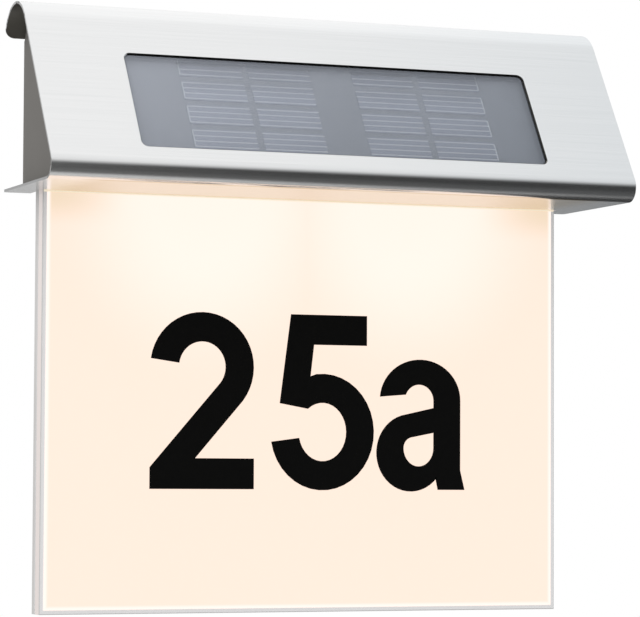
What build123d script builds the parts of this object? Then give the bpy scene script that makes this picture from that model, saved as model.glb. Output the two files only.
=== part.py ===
from build123d import *
from math import asin, atan2, cos, degrees, hypot, radians, sin, sqrt, tan
import os

# A solar house number light. A hood bent from one steel sheet covers a moulded housing with a solar
# module, and an edge-lit number panel hangs below. The hood's rolled top edge hangs on a wall bracket.
# Millimetres. X runs along the hood, +Y into the wall, +Z up. The origin is midway between the wall
# bracket's two screw holes, on the wall. A level is a height above the underside of the hood's flange.
# An inset is a depth into the hood, square to its outer face.

# hood, one bent sheet
hood_width = 200.0
hood_depth = 55.2
hood_height = 60.2
sheet = 0.8
roll_radius = 13.0          # outside of the roll along the top
nose_radius = 4.8           # outside of the bend at the front
lip_angle = 13.0            # the roll stops this many degrees above its centre
lip_corner = 3.0
flange_gap = 0.6            # flange to wall
flange_corner = 1.2
notch_gap = 0.6             # flange to number panel, all round
window_end = 30.5           # window to the hood's end
window_height = 37.5        # up the slope
window_rise = 4.8           # up the slope from the front bend
window_corner = 2.0
window_bevel = 0.3          # outer edge of the window

# number panel
panel_side_gap = 1.1        # panel to the housing's cheeks
panel_drop = 135.3          # below the flange
panel_edge = 0.3            # polished bevel
guide_thickness = 5.0
reflector_thickness = 0.25
pane_thickness = 3.25
panel_gap = 4.7             # back pane to wall
screen_thickness = 0.25
screen_margin = 1.4
screen_top_gap = 0.4        # screen to the underside of the flange

# solar module and the foam between hood and housing
foam = 1.2
gasket_rim = 4.3
gasket_set_back = 0.3       # behind the window's edge
module_rim = 2.6            # module past the window, all round
glass_thickness = 1.0
cell_thickness = 0.25
backing_thickness = 1.6
cell_rows = 4
cell_row_gap = 2.0
cell_column_gap = 2.3
cell_middle_gap = 15.0      # between the two groups of columns
cell_left_edge = 21.4       # cells to the module's edges
cell_right_edge = 18.4
cell_low_edge = 5.15
cell_top_edge = 0.35
tape_gap = 5.7              # tape to window gasket
tape_length = 42.0
tape_rise = 3.0             # up the slope from the front bend
tape_inset = 3.0            # tape to the end of the housing

# housing
hood_overhang = 6.5         # hood past the housing at each end
wall = 2.0
cheek_gap = 0.2             # cheek to the hood's inner face
cheek_wall_gap = 0.5        # cheek to the building's wall
cheek_relief = 0.9          # cheek below the hood's lip
shelf_level = 13.0          # underside of the shelf over the panel
roof_margin = 1.13          # roof above the pocket, up the slope
rail = 1.8                  # wall in front of the panel's top edge
panel_clearance = 0.2       # panel to rail
rim_ledge = 2.0             # seat of the cover's gasket
rim_depth = 3.0
pocket_clearance = 0.3
pocket_wall = 1.5
pocket_sill = 6.0           # ledge behind the module's edge
boss_radius = 3.8
boss_length = 12.0
boss_floor = 2.0
boss_sink = 0.4             # boss into the walls beside it

# rear cover with its battery tub, and the battery door
cover_face = 5.5            # outer face to wall
cover_thickness = 2.0
cover_gap = 0.2
cover_gasket_height = 0.8
cover_corner = 1.5
tub_wall = 1.5
door_thickness = 1.6
door_ear = 7.0              # room for a screw at each end of the door
door_corner = 2.5
door_rim = 1.2
door_rim_depth = 3.0
door_rim_gap = 0.3
door_gasket_height = 0.5
pusher_width = 2.0          # ribs inside the door that keep the cell down
pusher_height = 7.0
pusher_spacing = 22.0

# battery and its contacts
battery_radius = 7.1
battery_length = 49.2
battery_round = 0.8
nub_radius = 2.75
nub_height = 1.3
battery_end = 15.25         # battery tub to the housing's cheek
battery_gap = 0.3
contact_room = 1.0
spring_room = 5.0
contact = 0.4
contact_width = 9.0
contact_gap = 0.1

# electronics
board = 1.6
led_gap = 1.2               # LEDs to light guide
led_board_end = 4.9         # LED board to the panel's side edge
led_x = 34.0
led_length = 3.5
led_width = 2.8
led_height = 1.2
control_end = 15.5          # control board to the housing's cheek
control_length = 66.0
control_gap = 2.4           # control board to shelf
control_top_gap = 3.1       # control board to roof
board_standoff = 5.9        # control board to rear cover
board_screw_inset = 4.0
switch_length = 11.0
switch_width = 5.6
switch_gap = 0.3            # switch to rear cover
switch_depth = 3.0          # of the knob's slot
knob_length = 4.0
knob_width = 3.4
knob_out = 3.6              # knob out of the switch
knob_travel = 2.0
knob_gap = 0.1
slot_clearance = 0.6
slot_recess = 0.8
slot_recess_rim = 3.0
chip_length = 6.0
chip_width = 5.0
chip_height = 1.6
coil_radius = 3.2
coil_height = 4.5
capacitor_radius = 2.5
capacitor_height = 6.5

# wall bracket
bracket_width = 130.0
bracket_sheet = 1.5
bracket_corner = 2.0
hole_spacing = 104.0
hole_radius = 2.25
hook_width = 30.0
hook_spacing = 48.0
hook_step = 2.7             # wall to the back of a hook
hook_rise = 2.5             # height over which a hook steps forward
hook_bend = 1.2
hook_relief = 1.0           # slot at each side of a hook
hook_gap = 0.3              # hook to the inside of the roll
hook_lift = 5.0             # lift that frees the lamp
lip_gap = 0.6               # bracket to the hood's lip
lift_clearance = 0.6        # bracket to battery door while the lamp is lifted

# fasteners
screw_radius = 1.45
head_radius = 2.7
head_height = 1.7
small_screw_radius = 0.95
small_head_radius = 1.8
small_head_height = 1.1
bite_gap = 0.05             # screw to the hole it bites in
free_gap = 0.3              # screw to the hole it passes through
cover_screw_length = 9.0
clamp_screw_length = 16.5
board_screw_length = 6.0
door_screw_length = 6.5
clamp_screw_count = 3
clamp_screw_inset = 15.4    # outer screws to the panel's side edge
clamp_bar_gap = 1.2         # clamp bar to wall
clamp_boss_radius = 3.0
clamp_boss_length = 6.0
clamp_end_gap = 0.7
clamp_floor_gap = 0.2
clamp_trough = 1.2
small_boss_radius = 2.2
small_boss_length = 5.0

# The hood's section is two round bends joined by the sloped front, which leans back by this angle.
nose_y = nose_radius - hood_depth
roll_y = -roll_radius
roll_level = hood_height - roll_radius
run = roll_y - nose_y
rise = roll_level - nose_radius
lean = degrees(atan2(run, rise) - asin((roll_radius - nose_radius) / hypot(run, rise)))
slope_foot_y = nose_y - nose_radius * cos(radians(lean))
slope_foot_level = nose_radius + nose_radius * sin(radians(lean))
lip_level = roll_level + roll_radius * sin(radians(lip_angle))

# widths
housing_width = hood_width - 2 * hood_overhang
cheek_inner = housing_width / 2 - wall
panel_width = 2 * (cheek_inner - panel_side_gap)
window_width = hood_width - 2 * window_end
gasket_width = window_width + 2 * gasket_rim
module_width = window_width + 2 * module_rim
module_height = window_height + 2 * module_rim
led_board_length = panel_width - 2 * led_board_end
clamp_screw_reach = panel_width / 2 - clamp_screw_inset
clamp_screw_pitch = 2 * clamp_screw_reach / (clamp_screw_count - 1)
clamp_spots = [clamp_screw_pitch * i - clamp_screw_reach for i in range(clamp_screw_count)]

# insets
shell_inset = sheet + foam
cells_inset = shell_inset + glass_thickness
backing_inset = cells_inset + cell_thickness
pocket_inset = backing_inset + backing_thickness

# places measured from the wall
pane_front = -(panel_gap + pane_thickness)
guide_back = pane_front - reflector_thickness
guide_front = guide_back - guide_thickness
guide_middle = (guide_front + guide_back) / 2
rail_back = guide_front - panel_clearance
rail_front = rail_back - rail
cover_back = -(cover_face + cover_thickness)
rim_back = cover_back - cover_gasket_height
door_back = -cover_face + door_gasket_height
control_back = cover_back - board_standoff
battery_y = cover_back - battery_radius - battery_gap
tub_radius = battery_radius + battery_gap
tub_length = battery_length + nub_height + contact_room + spring_room
battery_x = battery_end + tub_length / 2 - cheek_inner
control_x = cheek_inner - control_end - control_length / 2
door_length = tub_length + 2 * door_ear
door_screw_reach = tub_length / 2 + tub_wall + small_boss_radius + bite_gap
cover_screw_x = cheek_inner - boss_radius + boss_sink
cell_left = battery_x - tub_length / 2 + contact_room + nub_height
cell_right = cell_left + battery_length

# levels
floor_level = sheet
floor_top = floor_level + wall
shelf_top = shelf_level + wall
panel_tuck = shelf_level - board - led_height - led_gap
pocket_top = window_rise + window_height + module_rim + pocket_clearance + pocket_wall
roof_level = slope_foot_level + (pocket_top + roof_margin) * cos(radians(lean))
cavity_top = roof_level - wall
clamp_level = (floor_level + panel_tuck) / 2
battery_level = shelf_top + battery_gap + tub_wall + tub_radius
door_height = 2 * (tub_radius + tub_wall)
door_top = battery_level + door_height / 2
control_height = cavity_top - shelf_top - control_gap - control_top_gap
control_level = shelf_top + control_gap + control_height / 2
bracket_low = door_top + hook_lift + lift_clearance
bracket_high = lip_level - lip_gap
bracket_height = bracket_high - bracket_low
hood_bottom = -(bracket_low + bracket_high) / 2
panel_height = panel_drop + panel_tuck


def level(height):
    """Z of a height above the underside of the hood's flange."""
    return hood_bottom + height


def slope_y(height, inset):
    """Y of the sloped front at a level and an inset."""
    return slope_foot_y + (height - slope_foot_level) * tan(radians(lean)) + inset / cos(radians(lean))


def upright(y):
    """Plane parallel to the wall, with X and Z as its axes, facing away from the wall."""
    return Plane.XZ.offset(-y)


slope = Plane(
    origin=(0, slope_foot_y, level(slope_foot_level)),
    x_dir=(1, 0, 0),
    z_dir=(0, -cos(radians(lean)), sin(radians(lean))),
)
window_middle = (0, window_rise + window_height / 2)


def hood_line(inset, stop_angle):
    """Line of the hood's section at an inset: flange, front bend, slope and roll. Returns its ends."""
    flange = Line((-flange_gap, level(inset)), (nose_y, level(inset)))
    nose = CenterArc((nose_y, level(nose_radius)), nose_radius - inset, 270, -(90 + lean))
    roll_turn = 180 - lean - stop_angle
    roll = CenterArc((roll_y, level(roll_level)), roll_radius - inset, 180 - lean, -roll_turn)
    Line(nose @ 1, roll @ 0)
    return flange @ 0, roll @ 1


def frame(width, height, rim, corner):
    """Flat rectangular ring with rounded outer corners, inside a sketch."""
    RectangleRounded(width, height, corner)
    Rectangle(width - 2 * rim, height - 2 * rim, mode=Mode.SUBTRACT)


def discs(plane, spots, radius):
    """Sketch of equal circles on a plane."""
    with BuildSketch(plane) as sketch:
        with Locations(*spots):
            Circle(radius)
    return sketch.sketch


def screws(spots, way, radius, length, cap_radius, cap_height):
    """Screws, each with its head standing on its spot and facing the given way."""
    with BuildPart() as one:
        with BuildSketch(Plane.XZ):
            Polygon(
                (0, -length), (radius, -length), (radius, 0), (cap_radius, 0),
                (cap_radius, cap_height), (0, cap_height),
                align=None,
            )
        revolve(axis=Axis.Z)
    with BuildPart() as group:
        with Locations(*[Plane(origin=spot, z_dir=way) for spot in spots]):
            add(one.part)
    return group.part


def write(piece, name):
    """Label a finished piece and write its file."""
    piece.label = name
    export_step(piece, f"parts/{name}.step")


os.makedirs("parts", exist_ok=True)

# Wall bracket: a steel strip with two screw holes. Two hooks are stepped forward from its top edge
# and reach up behind the hood's lip, into the roll.
hook_root = bracket_high - hook_rise
hook_reach = roll_radius - sheet
hook_top = roll_level + sqrt(hook_reach**2 - (roll_y + hook_step) ** 2) - hook_gap

with BuildPart() as wall_bracket:
    with BuildSketch(upright(0)):
        RectangleRounded(bracket_width, bracket_height, bracket_corner)
        with Locations((-hook_spacing / 2, level(hook_root)), (hook_spacing / 2, level(hook_root))):
            Rectangle(
                hook_width + 2 * hook_relief, bracket_height,
                align=(Align.CENTER, Align.MIN), mode=Mode.SUBTRACT,
            )
        with GridLocations(hole_spacing, 0, 2, 1):
            Circle(hole_radius, mode=Mode.SUBTRACT)
    extrude(amount=bracket_sheet)
    with BuildSketch(Plane.YZ.offset(hook_spacing / 2)):
        with BuildLine():
            FilletPolyline(
                (-bracket_sheet / 2, level(bracket_low)),
                (-bracket_sheet / 2, level(hook_root)),
                (-hook_step - bracket_sheet / 2, level(bracket_high)),
                (-hook_step - bracket_sheet / 2, level(hook_top)),
                radius=hook_bend,
            )
        trace(line_width=bracket_sheet)
    extrude(amount=hook_width / 2, both=True)
    mirror(about=Plane.YZ)
write(wall_bracket.part, "wall_bracket")

# Hood: brushed steel, bent round the front and rolled over at the top. The flange underneath is
# notched from the back so that the number panel can pass.
notch_depth = -guide_front + screen_thickness + notch_gap
notch_width = panel_width + 2 * notch_gap

with BuildPart() as hood:
    with BuildSketch(Plane.YZ):
        with BuildLine():
            hood_line(sheet / 2, lip_angle)
        trace(line_width=sheet)
    extrude(amount=hood_width / 2, both=True)
    ends = hood.edges().filter_by(lambda edge: abs(abs(edge.center().X) - hood_width / 2) < sheet / 2)
    tips = ends.filter_by(lambda edge: abs(edge.length - sheet) < sheet / 10).group_by(Axis.Z)
    fillet(tips[-1], lip_corner)
    fillet(tips[0], flange_corner)
    with BuildSketch(slope):
        with Locations(window_middle):
            RectangleRounded(window_width, window_height, window_corner)
    extrude(amount=shell_inset, both=True, mode=Mode.SUBTRACT)
    with BuildSketch(Plane.XY.offset(level(0))):
        Rectangle(notch_width, notch_depth, align=(Align.CENTER, Align.MAX))
    extrude(amount=sheet, mode=Mode.SUBTRACT)
    front_faces = hood.faces().filter_by(lambda face: slope.contains(face.center()))
    front_face = front_faces.sort_by(SortBy.AREA)[-1]
    chamfer(front_face.inner_wires()[0].edges(), window_bevel)
write(hood.part, "hood")

# Foam between the hood and the housing: a gasket round the window and a tape at each end.
with BuildPart() as window_gasket:
    with BuildSketch(slope.offset(-sheet)):
        with Locations(window_middle):
            frame(
                gasket_width, window_height + 2 * gasket_rim,
                gasket_rim - gasket_set_back, window_corner,
            )
    extrude(amount=-foam)
write(window_gasket.part, "window_gasket")

tape_width = (housing_width - gasket_width) / 2 - tape_inset - tape_gap
with BuildPart() as hood_tape:
    with BuildSketch(slope.offset(-sheet)):
        with Locations((0, tape_rise + tape_length / 2)):
            with GridLocations(housing_width - 2 * tape_inset - tape_width, 0, 2, 1):
                Rectangle(tape_width, tape_length)
    extrude(amount=-foam)
write(hood_tape.part, "hood_tape")

# Solar module: cells between a glass front and a circuit board.
column_gaps = cell_middle_gap + 2 * cell_column_gap
row_gaps = (cell_rows - 1) * cell_row_gap
cell_width = (module_width - cell_left_edge - cell_right_edge - column_gaps) / 4
cell_height = (module_height - cell_low_edge - cell_top_edge - row_gaps) / cell_rows
cell_group = cell_middle_gap / 2 + cell_width + cell_column_gap / 2
cell_centre = (cell_left_edge - cell_right_edge) / 2
cell_middle = window_middle[1] + (cell_low_edge - cell_top_edge) / 2

with BuildPart() as solar_glass:
    with BuildSketch(slope.offset(-shell_inset)):
        with Locations(window_middle):
            Rectangle(module_width, module_height)
    extrude(amount=-glass_thickness)
write(solar_glass.part, "solar_glass")

with BuildPart() as solar_cells:
    with BuildSketch(slope.offset(-cells_inset)):
        with Locations((cell_centre, cell_middle)):
            with GridLocations(2 * cell_group, cell_height + cell_row_gap, 2, cell_rows):
                with GridLocations(cell_width + cell_column_gap, 0, 2, 1):
                    Rectangle(cell_width, cell_height)
    extrude(amount=-cell_thickness)
write(solar_cells.part, "solar_cells")

with BuildPart() as solar_backing:
    with BuildSketch(slope.offset(-backing_inset)):
        with Locations(window_middle):
            Rectangle(module_width, module_height)
    extrude(amount=-backing_thickness)
write(solar_backing.part, "solar_backing")

# Housing: a moulded wedge, open at the back. Its floor stands on the flange. A shelf and a rail box
# in the panel's top edge, a pocket in the sloped front holds the module, and the two cheeks fill the
# hood's section up into the roll.
inner_inset = shell_inset + wall
pocket_width = module_width + 2 * pocket_clearance
pocket_height = module_height + 2 * pocket_clearance
boss_reach = boss_radius - boss_sink
cover_screw_z = [level(shelf_top + boss_reach), level(cavity_top - boss_reach)]
cover_spots = [(side * cover_screw_x, z) for side in (-1, 1) for z in cover_screw_z]
clamp_holes = [(x, level(clamp_level)) for x in clamp_spots]

with BuildPart() as housing:
    with BuildSketch(Plane.YZ) as shell:
        Polygon(
            (rail_back, level(floor_level)),
            (rail_back, level(shelf_level)),
            (rim_back, level(shelf_level)),
            (rim_back, level(roof_level)),
            (slope_y(roof_level, shell_inset), level(roof_level)),
            (slope_y(floor_level, shell_inset), level(floor_level)),
            align=None,
        )
        fillet(shell.vertices().sort_by(Axis.X)[0], nose_radius - sheet)
    extrude(amount=cheek_inner, both=True)
    with BuildSketch(Plane.YZ) as cavity:
        Polygon(
            (rail_front, level(floor_top)),
            (rail_front, level(shelf_top)),
            (rim_back, level(shelf_top)),
            (rim_back, level(cavity_top)),
            (slope_y(cavity_top, inner_inset), level(cavity_top)),
            (slope_y(floor_top, inner_inset), level(floor_top)),
            align=None,
        )
        fillet(cavity.vertices().sort_by(Axis.X)[0], nose_radius - sheet)
    extrude(amount=cheek_inner - rim_ledge, both=True, mode=Mode.SUBTRACT)
    with BuildSketch(Plane.YZ):
        add(cavity.sketch_local)
        with Locations((rim_back - rim_depth, level(0))):
            Rectangle(hood_depth, hood_height, align=(Align.MIN, Align.MIN), mode=Mode.SUBTRACT)
    extrude(amount=cheek_inner, both=True, mode=Mode.SUBTRACT)
    with BuildSketch(Plane.YZ.offset(cheek_inner)):
        with BuildLine():
            heel, crown = hood_line(sheet + cheek_gap, lip_angle)
            Polyline(
                crown,
                (-cheek_wall_gap, level(lip_level - cheek_relief)),
                (-cheek_wall_gap, heel.Y),
                heel,
            )
        make_face()
    extrude(amount=wall)
    mirror(about=Plane.YZ)
    # pocket for the module, with a sill behind its edges
    with BuildSketch(slope.offset(-shell_inset)):
        with Locations(window_middle):
            Rectangle(pocket_width + 2 * pocket_wall, pocket_height + 2 * pocket_wall)
    extrude(amount=shell_inset - pocket_inset - pocket_wall)
    with BuildSketch(slope.offset(-shell_inset)):
        with Locations(window_middle):
            Rectangle(pocket_width, pocket_height)
    extrude(amount=shell_inset - pocket_inset, mode=Mode.SUBTRACT)
    with BuildSketch(slope.offset(-shell_inset)):
        with Locations(window_middle):
            Rectangle(module_width - 2 * pocket_sill, module_height - 2 * pocket_sill)
    extrude(amount=shell_inset - pocket_inset - 2 * pocket_wall, mode=Mode.SUBTRACT)
    # bosses for the cover's screws and the clamp's screws
    extrude(discs(upright(rim_back), cover_spots, boss_radius), amount=boss_length)
    extrude(
        discs(upright(rim_back), cover_spots, screw_radius + bite_gap),
        amount=boss_length - boss_floor, mode=Mode.SUBTRACT,
    )
    extrude(discs(upright(rail_front), clamp_holes, clamp_boss_radius), amount=clamp_boss_length)
    extrude(
        discs(upright(rail_back), clamp_holes, screw_radius + bite_gap),
        amount=rail + clamp_boss_length, mode=Mode.SUBTRACT,
    )
write(housing.part, "housing")

# Number panel: a clear light guide, a white sheet and a back pane, with a frosted screen on the front.
panel_middle = (0, level(panel_tuck) - panel_height / 2)
notch_reach = screw_radius + free_gap


def panel_plate(back, thickness):
    """One full-size plate of the number panel, with notches in its top edge for the clamp's screws."""
    with BuildPart() as plate:
        with BuildSketch(upright(back)):
            with Locations(panel_middle):
                Rectangle(panel_width, panel_height)
        extrude(amount=thickness)
        if thickness > 2 * panel_edge:
            chamfer(plate.faces().filter_by(Axis.Y).edges(), panel_edge)
        with BuildSketch(upright(back)):
            with Locations(*[(x, level(clamp_level) - notch_reach) for x in clamp_spots]):
                Rectangle(
                    2 * notch_reach, panel_height,
                    align=(Align.CENTER, Align.MIN),
                )
        extrude(amount=thickness, mode=Mode.SUBTRACT)
    return plate.part


write(panel_plate(guide_back, guide_thickness), "light_guide")
write(panel_plate(pane_front, reflector_thickness), "reflector_sheet")
write(panel_plate(-panel_gap, pane_thickness), "back_pane")

with BuildPart() as number_screen:
    with BuildSketch(upright(guide_front)):
        with Locations((0, level(screen_margin - panel_drop))):
            Rectangle(
                panel_width - 2 * screen_margin, panel_drop - screen_margin - screen_top_gap,
                align=(Align.CENTER, Align.MIN),
            )
    extrude(amount=screen_thickness)
write(number_screen.part, "number_screen")

# Clamp: a bar across the back of the panel's top edge, with its screw heads sunk in it.
clamp_width = 2 * (cheek_inner - clamp_end_gap)
clamp_low = floor_level + clamp_floor_gap
clamp_height = shelf_level - clamp_floor_gap - clamp_low
clamp_thickness = panel_gap - clamp_bar_gap
clamp_seat = -(clamp_bar_gap + head_height + bite_gap)

with BuildPart() as plate_clamp:
    with BuildSketch(upright(-clamp_bar_gap)):
        with Locations((0, level(clamp_low + clamp_height / 2))):
            Rectangle(clamp_width, clamp_height)
    extrude(amount=clamp_thickness)
    with BuildSketch(upright(-clamp_bar_gap)):
        for left, right in zip(clamp_spots[:-1], clamp_spots[1:]):
            with Locations(((left + right) / 2, level(clamp_low + clamp_height / 2))):
                RectangleRounded(right - left - 4 * head_radius, clamp_height - 2 * wall, wall)
    extrude(amount=clamp_trough, mode=Mode.SUBTRACT)
    holes = discs(upright(-clamp_bar_gap), clamp_holes, screw_radius + free_gap)
    extrude(holes, amount=clamp_thickness, mode=Mode.SUBTRACT)
    sinks = discs(upright(-clamp_bar_gap), clamp_holes, head_radius + free_gap)
    extrude(sinks, amount=-clamp_bar_gap - clamp_seat, mode=Mode.SUBTRACT)
write(plate_clamp.part, "plate_clamp")

to_wall = (0, 1, 0)
clamp_screw_spots = [(x, clamp_seat, level(clamp_level)) for x in clamp_spots]
clamp_screws = screws(
    clamp_screw_spots, to_wall, screw_radius, clamp_screw_length, head_radius, head_height
)
write(clamp_screws, "clamp_screws")

# LED strip board, glued under the shelf, with two emitters that shine down into the light guide.
with BuildPart() as led_board:
    with BuildSketch(Plane.XY.offset(level(shelf_level))):
        with Locations((0, guide_middle)):
            Rectangle(led_board_length, guide_thickness)
    extrude(amount=-board)
write(led_board.part, "led_board")

with BuildPart() as leds:
    with BuildSketch(Plane.XY.offset(level(shelf_level - board))):
        with Locations((-led_x, guide_middle), (led_x, guide_middle)):
            Rectangle(led_length, led_width)
    extrude(amount=-led_height)
    chamfer(leds.faces().sort_by(Axis.Z)[:2].edges(), led_height / 4)
write(leds.part, "leds")

# Rear cover: a plate on the housing's rim, with a tub for the battery, bosses for the control board
# and the door's screws, and a sunk slot for the switch.
cover_low = shelf_level
cover_height = roof_level - cover_low
cover_middle = (0, level(cover_low + cover_height / 2))
board_reach_x = control_length / 2 - board_screw_inset
board_reach_z = control_height / 2 - board_screw_inset
board_spots = [
    (control_x + side * board_reach_x, level(control_level) + side * board_reach_z) for side in (-1, 1)
]
door_spots = [(battery_x + side * door_screw_reach, level(battery_level)) for side in (-1, 1)]
switch_x = control_x
slot_width = knob_length + knob_travel + 2 * slot_clearance
slot_height = knob_width + 2 * slot_clearance


def tub_section(radius):
    """Half-round trough round the cell, open to the back, inside a sketch of the YZ plane."""
    with Locations((battery_y, level(battery_level))):
        Circle(radius)
        Rectangle(cover_back - battery_y, 2 * radius, align=(Align.MIN, Align.CENTER))


with BuildPart() as rear_cover:
    with BuildSketch(upright(-cover_face)):
        with Locations(cover_middle):
            RectangleRounded(2 * (cheek_inner - cover_gap), cover_height, cover_corner)
    extrude(amount=cover_thickness)
    with BuildSketch(Plane.YZ.offset(battery_x)):
        tub_section(tub_radius + tub_wall)
    extrude(amount=tub_length / 2 + tub_wall, both=True)
    extrude(discs(upright(cover_back), board_spots, small_boss_radius), amount=board_standoff)
    extrude(discs(upright(cover_back), door_spots, small_boss_radius), amount=small_boss_length)
    with BuildSketch(Plane.YZ.offset(battery_x)):
        tub_section(tub_radius)
    extrude(amount=tub_length / 2, both=True, mode=Mode.SUBTRACT)
    with BuildSketch(upright(-cover_face)):
        with Locations((battery_x, level(battery_level))):
            Rectangle(tub_length, 2 * tub_radius)
        with Locations((switch_x, level(control_level))):
            Rectangle(slot_width, slot_height)
        with Locations(*cover_spots):
            Circle(screw_radius + free_gap)
    extrude(amount=cover_thickness, mode=Mode.SUBTRACT)
    with BuildSketch(upright(-cover_face)):
        with Locations((switch_x, level(control_level))):
            RectangleRounded(
                slot_width + 2 * slot_recess_rim, slot_height + 2 * slot_recess_rim, cover_corner
            )
    extrude(amount=slot_recess, mode=Mode.SUBTRACT)
    extrude(
        discs(upright(-cover_face), door_spots, small_screw_radius + free_gap / 2),
        amount=cover_thickness + small_boss_length, mode=Mode.SUBTRACT,
    )
    extrude(
        discs(upright(cover_back), board_spots, small_screw_radius + bite_gap),
        amount=board_standoff, mode=Mode.SUBTRACT,
    )
write(rear_cover.part, "rear_cover")

with BuildPart() as cover_gasket:
    with BuildSketch(upright(cover_back)):
        with Locations(cover_middle):
            frame(2 * (cheek_inner - cover_gap), cover_height, rim_ledge - 2 * cover_gap, cover_corner)
    extrude(amount=cover_gasket_height)
write(cover_gasket.part, "cover_gasket")

cover_screws = screws(
    [(x, -cover_face, z) for x, z in cover_spots], to_wall,
    screw_radius, cover_screw_length, head_radius, head_height,
)
write(cover_screws, "cover_screws")

# Battery: one AA cell, with its nub to the left, between a flat contact and a leaf spring.
with BuildPart() as battery:
    with BuildSketch(Plane(origin=(cell_left, battery_y, level(battery_level)), z_dir=(1, 0, 0))):
        Circle(battery_radius)
    extrude(amount=battery_length)
    chamfer(battery.edges().filter_by(GeomType.CIRCLE), battery_round)
    with BuildSketch(Plane(origin=(cell_left, battery_y, level(battery_level)), z_dir=(-1, 0, 0))):
        Circle(nub_radius)
    extrude(amount=nub_height)
write(battery.part, "battery")

contact_plane = Plane.XY.offset(level(battery_level))
with BuildPart() as contact_positive:
    with BuildSketch(contact_plane):
        with Locations((cell_left - nub_height - contact_gap, battery_y)):
            Rectangle(contact, contact_width, align=(Align.MAX, Align.CENTER))
    extrude(amount=contact_width / 2, both=True)
write(contact_positive.part, "contact_positive")

tub_end = battery_x + tub_length / 2
with BuildPart() as contact_negative:
    with BuildSketch(contact_plane):
        with BuildLine():
            FilletPolyline(
                (tub_end - contact / 2 - contact_gap, battery_y - contact_width / 2),
                (tub_end - contact / 2 - contact_gap, battery_y + contact_width / 2),
                (cell_right + contact / 2 + contact_gap, battery_y),
                (tub_end - 3 * contact, battery_y - contact_width / 2),
                radius=contact,
            )
        trace(line_width=contact)
    extrude(amount=contact_width / 2, both=True)
write(contact_negative.part, "contact_negative")

# Battery door: a plate on a gasket, with a rim that fits the tub and two ribs that keep the cell down.
door_middle = (battery_x, level(battery_level))
rim_length = tub_length - 2 * door_rim_gap
rim_height = 2 * (tub_radius - door_rim_gap)

with BuildPart() as battery_door:
    with BuildSketch(upright(-cover_face + door_gasket_height + door_thickness)):
        with Locations(door_middle):
            RectangleRounded(door_length, door_height, door_corner)
    extrude(amount=door_thickness)
    with BuildSketch(upright(door_back)):
        with Locations(door_middle):
            frame(rim_length, rim_height, door_rim, door_rim / 2)
    extrude(amount=door_rim_depth)
    with BuildSketch(upright(door_back)):
        with Locations(door_middle):
            with GridLocations(pusher_spacing, 0, 2, 1):
                Rectangle(pusher_width, pusher_height)
    extrude(amount=door_back - battery_y - battery_radius - battery_gap)
    holes = discs(upright(door_back + door_thickness), door_spots, small_screw_radius + bite_gap)
    extrude(holes, amount=door_thickness, mode=Mode.SUBTRACT)
write(battery_door.part, "battery_door")

with BuildPart() as door_gasket:
    with BuildSketch(upright(door_back)):
        with Locations(door_middle):
            frame(tub_length + 2 * tub_wall, door_height, tub_wall, door_corner / 2)
    extrude(amount=door_gasket_height)
write(door_gasket.part, "door_gasket")

door_screws = screws(
    [(x, door_back + door_thickness, z) for x, z in door_spots], to_wall,
    small_screw_radius, door_screw_length, small_head_radius, small_head_height,
)
write(door_screws, "door_screws")

# Control board with its parts on the front, screwed to the rear cover, and the switch on its back.
with BuildPart() as control_board:
    with BuildSketch(upright(control_back)):
        with Locations((control_x, level(control_level))):
            Rectangle(control_length, control_height)
        with Locations(*board_spots):
            Circle(small_screw_radius + free_gap, mode=Mode.SUBTRACT)
    extrude(amount=board)
write(control_board.part, "control_board")

part_face = upright(control_back - board)
with BuildPart() as board_components:
    with BuildSketch(part_face):
        with Locations((control_x - chip_length, level(control_level))):
            Rectangle(chip_length, chip_width)
    extrude(amount=chip_height)
    with BuildSketch(part_face):
        with Locations((control_x + 2 * coil_radius, level(control_level))):
            Circle(coil_radius)
    extrude(amount=coil_height)
    with BuildSketch(part_face):
        with Locations((control_x + 4 * coil_radius, level(control_level))):
            Circle(capacitor_radius)
    extrude(amount=capacitor_height)
write(board_components.part, "board_components")

board_screws = screws(
    [(x, control_back - board, z) for x, z in board_spots], (0, -1, 0),
    small_screw_radius, board_screw_length, small_head_radius, small_head_height,
)
write(board_screws, "board_screws")

switch_back = cover_back - switch_gap
with BuildPart() as slide_switch:
    with BuildSketch(upright(switch_back)):
        with Locations((switch_x, level(control_level))):
            Rectangle(switch_length, switch_width)
    extrude(amount=switch_back - control_back)
    with BuildSketch(upright(switch_back)):
        with Locations((switch_x, level(control_level))):
            Rectangle(knob_length + knob_travel + 2 * knob_gap, knob_width + 2 * knob_gap)
    extrude(amount=switch_depth, mode=Mode.SUBTRACT)
write(slide_switch.part, "slide_switch")

# The knob stands at the end of its slot at rest and slides along it.
with BuildPart() as switch_knob:
    with BuildSketch(upright(switch_back + knob_out)):
        with Locations((switch_x - knob_travel / 2, level(control_level))):
            Rectangle(knob_length, knob_width)
    extrude(amount=knob_out + switch_depth - knob_gap)
    chamfer(switch_knob.faces().sort_by(Axis.Y)[-1].edges(), knob_width / 8)
    with BuildSketch(upright(switch_back + knob_out)):
        with Locations((switch_x - knob_travel / 2, level(control_level))):
            with GridLocations(knob_length / 4, 0, 3, 1):
                Rectangle(knob_length / 8, knob_width)
    extrude(amount=knob_out / 6, mode=Mode.SUBTRACT)
write(switch_knob.part, "switch_knob")
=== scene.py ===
import math

import bmesh
import bpy
from mathutils import Matrix, Vector


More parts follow.
